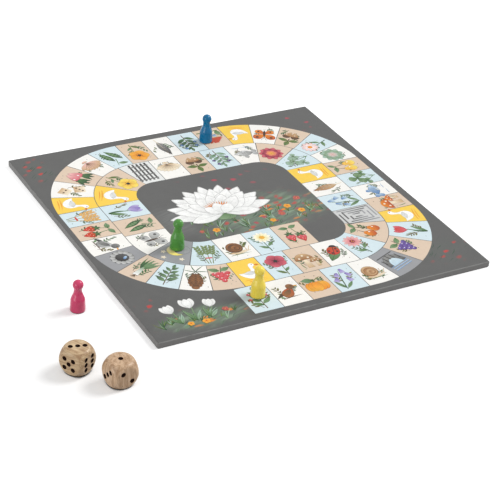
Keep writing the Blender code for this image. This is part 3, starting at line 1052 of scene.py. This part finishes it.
cellPictures = [   # ground and motif of each cell, from the first
    ('sky', sprig('leaf', 'sage', 'rose')), ('paper', songbird('twig', 'nut', 'rust')),
    ('sand', squash('orange', 'amber')), ('sky', bells('violet', 'lilac')), ('paper', snail('nut', 'tan')),
    ('slate', archBridge()), ('sand', bunch('plum', 'violet', 'leaf')), ('sky', tulip('red', 'rose')),
    ('sun', gooseMark()), ('sand', mushrooms('rust', 'orange')), ('paper', fish('blue', 'ice')),
    ('sky', clover('leaf', 'sage')), ('sand', twoFruits('lemon', 'amber', 'leaf', 1.25)),
    ('paper', rosette('sage', 'mint', 'blush')), ('sky', daisy('white', 'blush', 'orange')),
    ('sand', acorns()), ('paper', butterfly('orange', 'rust', 'black')), ('sun', gooseMark()),
    ('sand', cottage()), ('sky', sprig('deepLeaf', 'leaf', 'blue')), ('paper', feather('grey', 'black')),
    ('sand', poppy('orange', 'amber')), ('sky', peas()), ('paper', shell('blush', 'tan')),
    ('sand', radishes('rose', 'blush')), ('paper', dicePair()), ('sun', gooseMark()),
    ('sky', wheat('amber', 'tan')), ('sand', strawberries('red', 'rust')),
    ('paper', songbird('charcoal', 'grey', 'smoke')), ('slate', stoneWell()), ('sand', leek('twig')),
    ('sky', sprig('sage', 'deepLeaf')), ('paper', pineCone('bark', 'nut')),
    ('sand', bunch('red', 'rose', 'leaf')), ('sun', gooseMark()), ('sky', poppy('wine', 'rose')),
    ('sand', mushrooms('nut', 'tan')),
    ('paper', ladybird('red', 'rust')), ('sky', daisy('rose', 'blush', 'wine')),
    ('sand', twoFruits('rust', 'orange', 'leaf')), ('smoke', hedgeMaze()), ('sky', bells('blue', 'ice')),
    ('paper', feather('tan', 'nut')), ('sun', gooseMark()), ('sky', clover('sage', 'mint')),
    ('sand', rosette('wine', 'rose', 'amber')), ('paper', fish('grey', 'smoke')),
    ('sky', sprig('mint', 'leaf', 'plum')), ('sand', acorns()), ('paper', shell('tan', 'cream')),
    ('pearl', lattice()), ('sand', poppy('amber', 'lemon')), ('sun', gooseMark()),
    ('sky', tulip('violet', 'lilac')), ('sand', peas()), ('paper', butterfly('grey', 'smoke', 'charcoal')),
    ('slate', moonNight()), ('sky', wheat('sage', 'moss')), ('paper', snail('bark', 'nut')),
    ('sky', daisy('lemon', 'white', 'amber')), ('sand', strawberries('red', 'rose')),
]


def trackLegs():   # straights as start, heading and length; bends as middle, start angle and radius
    x0, x1, y0, y1, width = track['leftX'], track['rightX'], track['nearY'], track['farY'], track['width']
    legs = []
    for lap in (0, 1):
        r = track['outerRadius'] - width * (lap + 0.5)
        start = x0 if lap else track['startX']
        legs += [('straight', (start, y0 - r), 0, x1 - start), ('bend', (x1, y0), -90, r),
                 ('straight', (x1 + r, y0), 90, y1 - y0), ('bend', (x1, y1), 0, r),
                 ('straight', (x1, y1 + r), 180, x1 - x0), ('bend', (x0, y1), 90, r),
                 ('straight', (x0 - r, y1), 270, y1 - y0 - width), ('bend', (x0, y0 + width), 180, r)]
    return legs + [('straight', (x0, y0 + width - r), 0, track['endX'] - x0)]


def trackSpot(distance, side=0.0):   # point and heading on the track; side is towards the middle
    for kind, (x, y), turn, size in trackLegs():
        length = size if kind == 'straight' else size * math.pi / 2
        if distance <= length:
            break
        distance -= length
    else:
        distance += length   # past the end, on along the last leg
    if kind == 'straight':
        heading = math.radians(turn)
        c, s = math.cos(heading), math.sin(heading)
        return x + c * distance - s * side, y + s * distance + c * side, heading
    angle = math.radians(turn) + distance / size
    return x + math.cos(angle) * (size - side), y + math.sin(angle) * (size - side), angle + math.pi / 2


def insideCell(row, start, length):   # whether a shape keeps clear of its cell's edges
    x, y, turn, long = row[1:5]
    for endX, endY in ((x, y), reachFrom(x, y, turn, long)):
        endX, endY = endX * track['motifSize'], endY * track['motifSize']
        before, after = trackSpot(start, endY), trackSpot(start + length, endY)
        half = math.dist(before[:2], after[:2]) / 2
        if abs(endX) > half - track['margin'] or abs(endY) > track['width'] / 2 - track['margin']:
            return False
    return True


def printCell(number, start, length, ground, rows):
    gap = track['gap']
    mesh = panelMesh.copy()
    for vertex in mesh.vertices:
        along = start + gap / 2 + (vertex.co.x + 0.5) * (length - gap)
        x, y, heading = trackSpot(along, vertex.co.y * (track['width'] - gap))
        z = inkFilm['panel'] if vertex.co.z > 0.5 else -inkFilm['sink']
        vertex.co = (x * mm, y * mm, sheetTop + z * mm)
    giveInk(mesh, [linear(inks[ground])[:3] + (inkFilm['panelWash'],)] * len(mesh.vertices))
    x, y, heading = trackSpot(start + length / 2)
    seat = Matrix.Translation((x * mm, y * mm, sheetTop)) @ Matrix.Rotation(heading, 4, 'Z')
    seat = seat @ Matrix.Diagonal((track['motifSize'], track['motifSize'], 1, 1))
    pieces = [newPiece('panel', mesh)] + printRows(rows, seat, inkFilm['panel'])
    finishPrint('cell%02dPrint' % number, pieces)


cellLengths = [length for count, length in track['runs'] for i in range(count)]
for i, (length, (ground, rows)) in enumerate(zip(cellLengths, cellPictures)):
    start = sum(cellLengths[:i])
    behind = [] if ground in plainGrounds else sprayRows(i)
    behind = [row for row in behind if insideCell(row, start, length)]
    printCell(i + 1, start, length, ground, behind + rows)
print('track printed:', len(cellLengths), 'cells')


# Pictures on the dark ground

lily = dict(at=(-16, 0), reach=46, base=0.10, step=0.003)   # mm; base keeps it over the grass

grass = dict(   # mm and degrees; share is how long each blade of a tuft is
    lean=(-30, 36), length=(7, 16), share=(0.6, 1.0), width=1.1, bladeLeans=(0, 15, -17),
    inks=[('deepLeaf', 'leaf'), ('leaf', 'sage'), ('moss', 'leaf'), ('deepLeaf', 'moss'), ('sage', 'mint')])

meadow = dict(
    seed=4, tufts=40, left=-50, right=64, low=-33, high=-4,
    orange=[(38, -9, 6), (46, -19, 6), (-34, -22, 6), (16, -25, 5)],
    red=[(52, 0, 6), (28, -18, 6), (-46, -20, 4)],
)

corner = dict(
    seed=9, tufts=16, left=-132, right=-70, low=-137, high=-126,
    tulips=[(-117, -130, 10, 26), (-105, -130, -4, 29), (-94, -130, -20, 24)],
    orange=[(-112, -132, 5), (-100, -133, 6)],
    red=[(-80, -124, 5)],
)


def lilyRows():
    (x, y), reach = lily['at'], lily['reach']
    rows = fan('sepal', x, y + 3, 5, 205, 155, reach * 0.30, reach * 0.30, 'leaf', 'sage')
    rings = ((9, 84, 1.0, 0.30, 'smoke'), (8, 70, 0.87, 0.29, 'pearl'), (6, 100, 0.68, 0.28, 'pearl'),
             (5, 46, 0.66, 0.28, 'smoke'))
    for count, turn, long, wide, foot in rings:
        for row in fan('sepal', x, y, count, turn, -turn, reach * long, reach * wide, foot, 'white'):
            rows.append(row)
            rows.append(stem(x, y, row[3], reach * long * 0.84, 0.6, 'grey', 'pearl'))
    rows += fan('leaf', x, y + 2, 11, 40, -40, reach * 0.38, 2.0, 'rust', 'orange')
    return rows + fan('sepal', x, y - 1, 3, 42, -42, reach * 0.38, reach * 0.24, 'pearl', 'white')


def tuftRows(patch):
    draw = random.Random(patch['seed'])
    rows = []
    for i in range(patch['tufts']):
        x, y = draw.uniform(patch['left'], patch['right']), draw.uniform(patch['low'], patch['high'])
        turn, length = draw.uniform(*grass['lean']), draw.uniform(*grass['length'])
        for lean in grass['bladeLeans']:
            foot, tip = draw.choice(grass['inks'])
            size = length * draw.uniform(*grass['share'])
            rows.append(blade(x, y, turn + lean, size, grass['width'], foot, tip))
    return rows


def looseBlossoms(spots, ink, tip, heart):
    rows = []
    for x, y, size in spots:
        rows += blossom(x, y, 5, size * 0.55, size * 0.5, ink, tip, heart, size * 0.16)
    return rows


def cornerTulip(x, y, turn, length):
    top = reachFrom(x, y, turn, length * 0.56)
    rows = [stem(x, y, turn, length * 0.60, 1.2, 'leaf', 'sage'),
            leaf(x, y, turn + 24, length * 0.6, 3.6, 'leaf', 'sage'),
            leaf(x, y, turn - 28, length * 0.5, 3.2, 'sage', 'mint')]
    rows += fan('sepal', *top, 2, turn + 20, turn - 20, length * 0.46, length * 0.24, 'smoke', 'white')
    return rows + [sepal(*top, turn, length * 0.44, length * 0.24, 'pearl', 'white')]


def patchRows(patch):   # grass with any tulips in it, and blossoms over both
    rows = tuftRows(patch)
    for spot in patch.get('tulips', []):
        rows += cornerTulip(*spot)
    rows += looseBlossoms(patch['orange'], 'orange', 'amber', 'rust')
    return rows + looseBlossoms(patch['red'], 'brick', 'dustRose', 'amber')


def printPictures():
    seat = Matrix.Translation((0, 0, sheetTop))
    finishPrint('meadowPrint', printRows(patchRows(meadow), seat, 0.0))
    finishPrint('lilyPrint', printRows(lilyRows(), seat, lily['base'], lily['step']))
    finishPrint('tulipPrint', printRows(patchRows(corner), seat, 0.0))


printPictures()
print('pictures printed on the dark ground')


# Pawns

pawn = dict(   # mm from the foot up, and the two tones that each paint drifts between
    foot=5.85, footRound=0.9, shoulder=5.5, bodyHeight=8.2, waistHeight=16.7, neck=3.15, neckLength=2.3,
    head=4.05, turnSteps=64, smooth=40,   # the last is the angle in degrees that is shaded smooth
    paints=dict(blue_pawn=((2, 106, 154), (4, 114, 162)), green_pawn=((76, 142, 60), (84, 150, 66)),
                yellow_pawn=((246, 220, 84), (250, 226, 94)), pink_pawn=((205, 62, 104), (211, 70, 110))),
)


def pawnOutline():   # radius and height from the top of the head to the middle of the foot
    headSteps, slopeSteps, footSteps = 20, 14, 6
    head, neck, foot, footRound = pawn['head'], pawn['neck'], pawn['foot'], pawn['footRound']
    ball = pawn['waistHeight'] + pawn['neckLength'] + math.sqrt(head ** 2 - neck ** 2)
    last = math.pi - math.asin(neck / head)
    line = []
    for i in range(headSteps + 1):
        angle = last * i / headSteps
        line.append((head * math.sin(angle), ball + head * math.cos(angle)))
    for i in range(slopeSteps + 1):
        share = i / slopeSteps
        widening = (1 - math.cos(math.pi * share)) / 2
        height = pawn['waistHeight'] - (pawn['waistHeight'] - pawn['bodyHeight']) * share
        line.append((neck + (pawn['shoulder'] - neck) * widening, height))
    for i in range(footSteps + 1):
        angle = i / footSteps * math.pi / 2
        line.append((foot - footRound * (1 - math.cos(angle)), footRound * (1 - math.sin(angle))))
    return line + [(0.0, 0.0)]


def turnPawn():   # the one turning that all four are copied from
    piece = spinOutline(pawnOutline(), pawn['turnSteps'])
    smoothOver(piece, pawn['smooth'])
    return piece


def makeLacquer(name, tones, foot):
    material, tree, shader = newMaterial(name)
    local = wire(tree, 'Mapping', {'Vector': objectPlace(tree), 'Location': -foot}).outputs[0]
    rings = noise(tree, scaled(tree, local, (60, 60, 1400)), 1.0, 2)   # faint lathe rings under the paint
    feed(tree, shader, {
        'Base Color': stain(tree, linear(tones[0]), tones[1], noise(tree, local, 120, 2), 0.35, 0.65),
        'Roughness': spread(tree, noise(tree, local, 700, 2), 0.3, 0.7, 0.20, 0.28),
        'Normal': bumpFrom(tree, rings, 0.10), 'Specular IOR Level': 0.05, 'Coat Weight': 1.0,
        'Coat IOR': 1.35, 'Coat Roughness': 0.10})   # weak head on, so that the paint keeps its depth
    return material


def makePawns():
    turning = turnPawn()
    for node, tones in pawn['paints'].items():
        low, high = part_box(node)
        foot = Vector(((low.x + high.x) / 2, (low.y + high.y) / 2, low.z))
        piece = newPiece(node.replace('_pawn', 'PawnTurning'), turning.data.copy())
        piece.data.transform(Matrix.Translation(foot))
        piece.data.materials.append(makeLacquer(node.replace('_pawn', 'Lacquer'), tones, foot))
        standFor(piece, node)
    bpy.data.objects.remove(turning)


makePawns()
print('pawns turned and painted')


# Dice

die = dict(   # mm, tones, and for each die its turn, the tilt of its grain in degrees, and its faces
    side=20.0, ball=12.9, ease=0.9, cuts=31, smooth=35,
    pip=3.2, pipDepth=0.8, lip=0.2, pipSpread=3.6, rowPitch=4.2, drillSteps=24,
    grain=(154, 118, 84), pore=(100, 72, 50), burn=(18, 5, 2), scorch=(58, 28, 10),
    endGrainAndCornerShade=0.90,   # how far the corners go over to the grain's tone: partly end grain cut across the grain, partly painted shade
    left_die=dict(turn=-60.0, wood=(213, 187, 148), tilt=(0, 86), rings=0.40, faces=dict(
        top=(3, 1), bottom=(4, 1), front=(5, 1), back=(2, 1), right=(6, 1), left=(1, 1))),
    right_die=dict(turn=6.6, wood=(213, 181, 148), tilt=(4, -3), rings=0.25, faces=dict(
        top=(1, 1), bottom=(6, 1), front=(2, -1), back=(5, 1), right=(4, 1), left=(3, -1))),
)
faceAxes = dict(   # outward normal of each face, and the two directions that its pips lie along
    top=((0, 0, 1), (1, 0, 0), (0, 1, 0)), bottom=((0, 0, -1), (1, 0, 0), (0, 1, 0)),
    front=((0, -1, 0), (1, 0, 0), (0, 0, 1)), back=((0, 1, 0), (1, 0, 0), (0, 0, 1)),
    right=((1, 0, 0), (0, 1, 0), (0, 0, 1)), left=((-1, 0, 0), (0, 1, 0), (0, 0, 1)),
)


def pipSpots(count, slant):
    near, far, row = -die['pipSpread'], die['pipSpread'], die['rowPitch']
    if count == 6:
        return [(side, high) for side in (near, far) for high in (-row, 0, row)]
    spots = [(0, 0)] if count % 2 else []
    if count in (2, 3):
        spots += [(near, near * slant), (far, far * slant)]
    if count in (4, 5):
        spots += [(near, near), (near, far), (far, near), (far, far)]
    return spots


def cornerShare(tree, local):   # 1 in the rounded corners, falling to 0 on the flats
    way = vectors(tree, 'NORMALIZE', local)[0]
    parts = axes(tree, vectors(tree, 'ABSOLUTE', way)[0])
    most = calc(tree, 'MAXIMUM', calc(tree, 'MAXIMUM', parts[0], parts[1]), parts[2])
    return spread(tree, most, 0.61, 0.74, 1.0, 0.0)


def makeBeech(name, middle, plan):
    material, tree, shader = newMaterial(name)
    turn = [math.radians(angle) for angle in (*plan['tilt'], plan['turn'])]
    feeds = {'Vector': objectPlace(tree), 'Location': middle, 'Rotation': turn}
    local = wire(tree, 'Mapping', feeds, vector_type='TEXTURE').outputs[0]   # z runs along the grain
    streaks = noise(tree, scaled(tree, local, (520, 520, 45)), 1.0, 4, 0.6)
    fleck = noise(tree, scaled(tree, local, (2600, 1500, 260)), 1.0, 2)
    feeds = {'Vector': local, 'Scale': 280.0, 'Distortion': 3.0, 'Detail': 2.0, 'Detail Scale': 1.2}
    rings = wire(tree, 'TexWave', feeds, wave_type='BANDS', bands_direction='X').outputs['Fac']
    grain = linear(die['grain'])
    ink = stain(tree, linear(plan['wood']), die['grain'], streaks, 0.38, 0.66, 0.8)
    ink = mixInks(tree, calc(tree, 'MULTIPLY', rings, plan['rings']), ink, grain)
    # darker rounded corners: partly end grain, partly painted shade
    cut = calc(tree, 'MULTIPLY', cornerShare(tree, local), spread(tree, fleck, 0.35, 0.6, 0.7, 1.0))
    ink = mixInks(tree, calc(tree, 'MULTIPLY', cut, die['endGrainAndCornerShade']), ink, grain)
    ink = stain(tree, ink, die['pore'], fleck, 0.60, 0.72, 0.7)
    rough = spread(tree, streaks, 0.3, 0.7, 0.36, 0.48)
    bump = bumpFrom(tree, calc(tree, 'SUBTRACT', streaks, fleck), 0.20)
    feed(tree, shader, {'Base Color': ink, 'Roughness': rough, 'Normal': bump})
    return material


def makeBurn():
    material, tree, shader = newMaterial('burntPip')
    char = noise(tree, objectPlace(tree), 1800, 3)
    ink = stain(tree, linear(die['burn']), die['scorch'], char, 0.45, 0.75, 0.6)
    rough = spread(tree, char, 0.3, 0.7, 0.45, 0.70)
    feed(tree, shader, {'Base Color': ink, 'Roughness': rough, 'Normal': bumpFrom(tree, char, 0.3),
                        'Specular IOR Level': 0.05})
    return material


def roundedBlock():   # a cube pulled in to a ball, with a flat left in the middle of each face
    clearSelection()
    bpy.ops.mesh.primitive_cube_add(size=die['side'] * mm)
    piece = bpy.context.object
    with editing(piece):
        bpy.ops.mesh.subdivide(number_cuts=die['cuts'])
    half, ball, ease = die['side'] / 2 * mm, die['ball'] * mm, die['ease'] * mm
    for vertex in piece.data.vertices:
        even = Vector([math.tan(c / half * math.pi / 4) for c in vertex.co])   # even spacing round the ball
        flat = even * half / max(abs(c) for c in even)
        share = max(ease - abs(flat.length - ball), 0.0) / ease   # 1 where flat and ball meet
        vertex.co = flat.normalized() * (min(flat.length, ball) - share * share * ease / 4)
    return piece


def turnDrill(burn):   # a round-nosed drill, tip at the bottom of a pip, with a lip that sears the rim
    noseSteps, shank = 6, 1.5
    radius, depth, lip = die['pip'] / 2, die['pipDepth'], die['lip']
    ball = (radius ** 2 + depth ** 2) / (2 * depth)
    line = []
    for i in range(noseSteps + 1):
        angle = math.asin(radius / ball) * i / noseSteps
        line.append((ball * math.sin(angle), ball * (1 - math.cos(angle)) - lip / 4))
    line += [(radius + lip, depth), (radius + lip, depth + shank), (0.0, depth + shank)]
    drill = spinOutline(line, die['drillSteps'])
    drill.data.materials.append(burn)
    return drill


def drillPips(piece, faces, burn):
    drill = turnDrill(burn)
    drills = []
    for face, (count, slant) in faces.items():
        normal, across, up = (Vector(axis) for axis in faceAxes[face])
        for right, high in pipSpots(count, slant):
            spot = normal * (die['side'] / 2 - die['pipDepth']) + across * right + up * high
            aim = normal.to_track_quat('Z', 'Y').to_matrix().to_4x4()
            bit = newPiece('bit', drill.data.copy())
            bit.data.transform(Matrix.Translation(spot * mm) @ aim)
            drills.append(bit)
    bpy.data.objects.remove(drill)
    drill = joinPieces('pipDrill', drills)
    workOn(piece)
    cut = piece.modifiers.new('pips', 'BOOLEAN')
    cut.operation = 'DIFFERENCE'
    cut.solver = 'EXACT'
    cut.object = drill
    cut.material_mode = 'TRANSFER'
    bpy.ops.object.modifier_apply(modifier=cut.name)
    bpy.data.objects.remove(drill)


def makeDice():
    burn = makeBurn()
    for node in ('left_die', 'right_die'):
        low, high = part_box(node)
        middle = (low + high) / 2
        middle.z = low.z + die['side'] / 2 * mm
        plan = die[node]
        piece = roundedBlock()
        piece.name = node.replace('_die', 'DieBlock')
        piece.data.materials.append(makeBeech(node.replace('_die', 'Beech'), middle, plan))
        drillPips(piece, plan['faces'], burn)
        turn = Matrix.Rotation(math.radians(plan['turn']), 4, 'Z')
        piece.data.transform(Matrix.Translation(middle) @ turn)
        closeMesh(piece, 1e-7)
        smoothOver(piece, die['smooth'])
        standFor(piece, node)


makeDice()
print('dice shaped and drilled')

clearSelection()
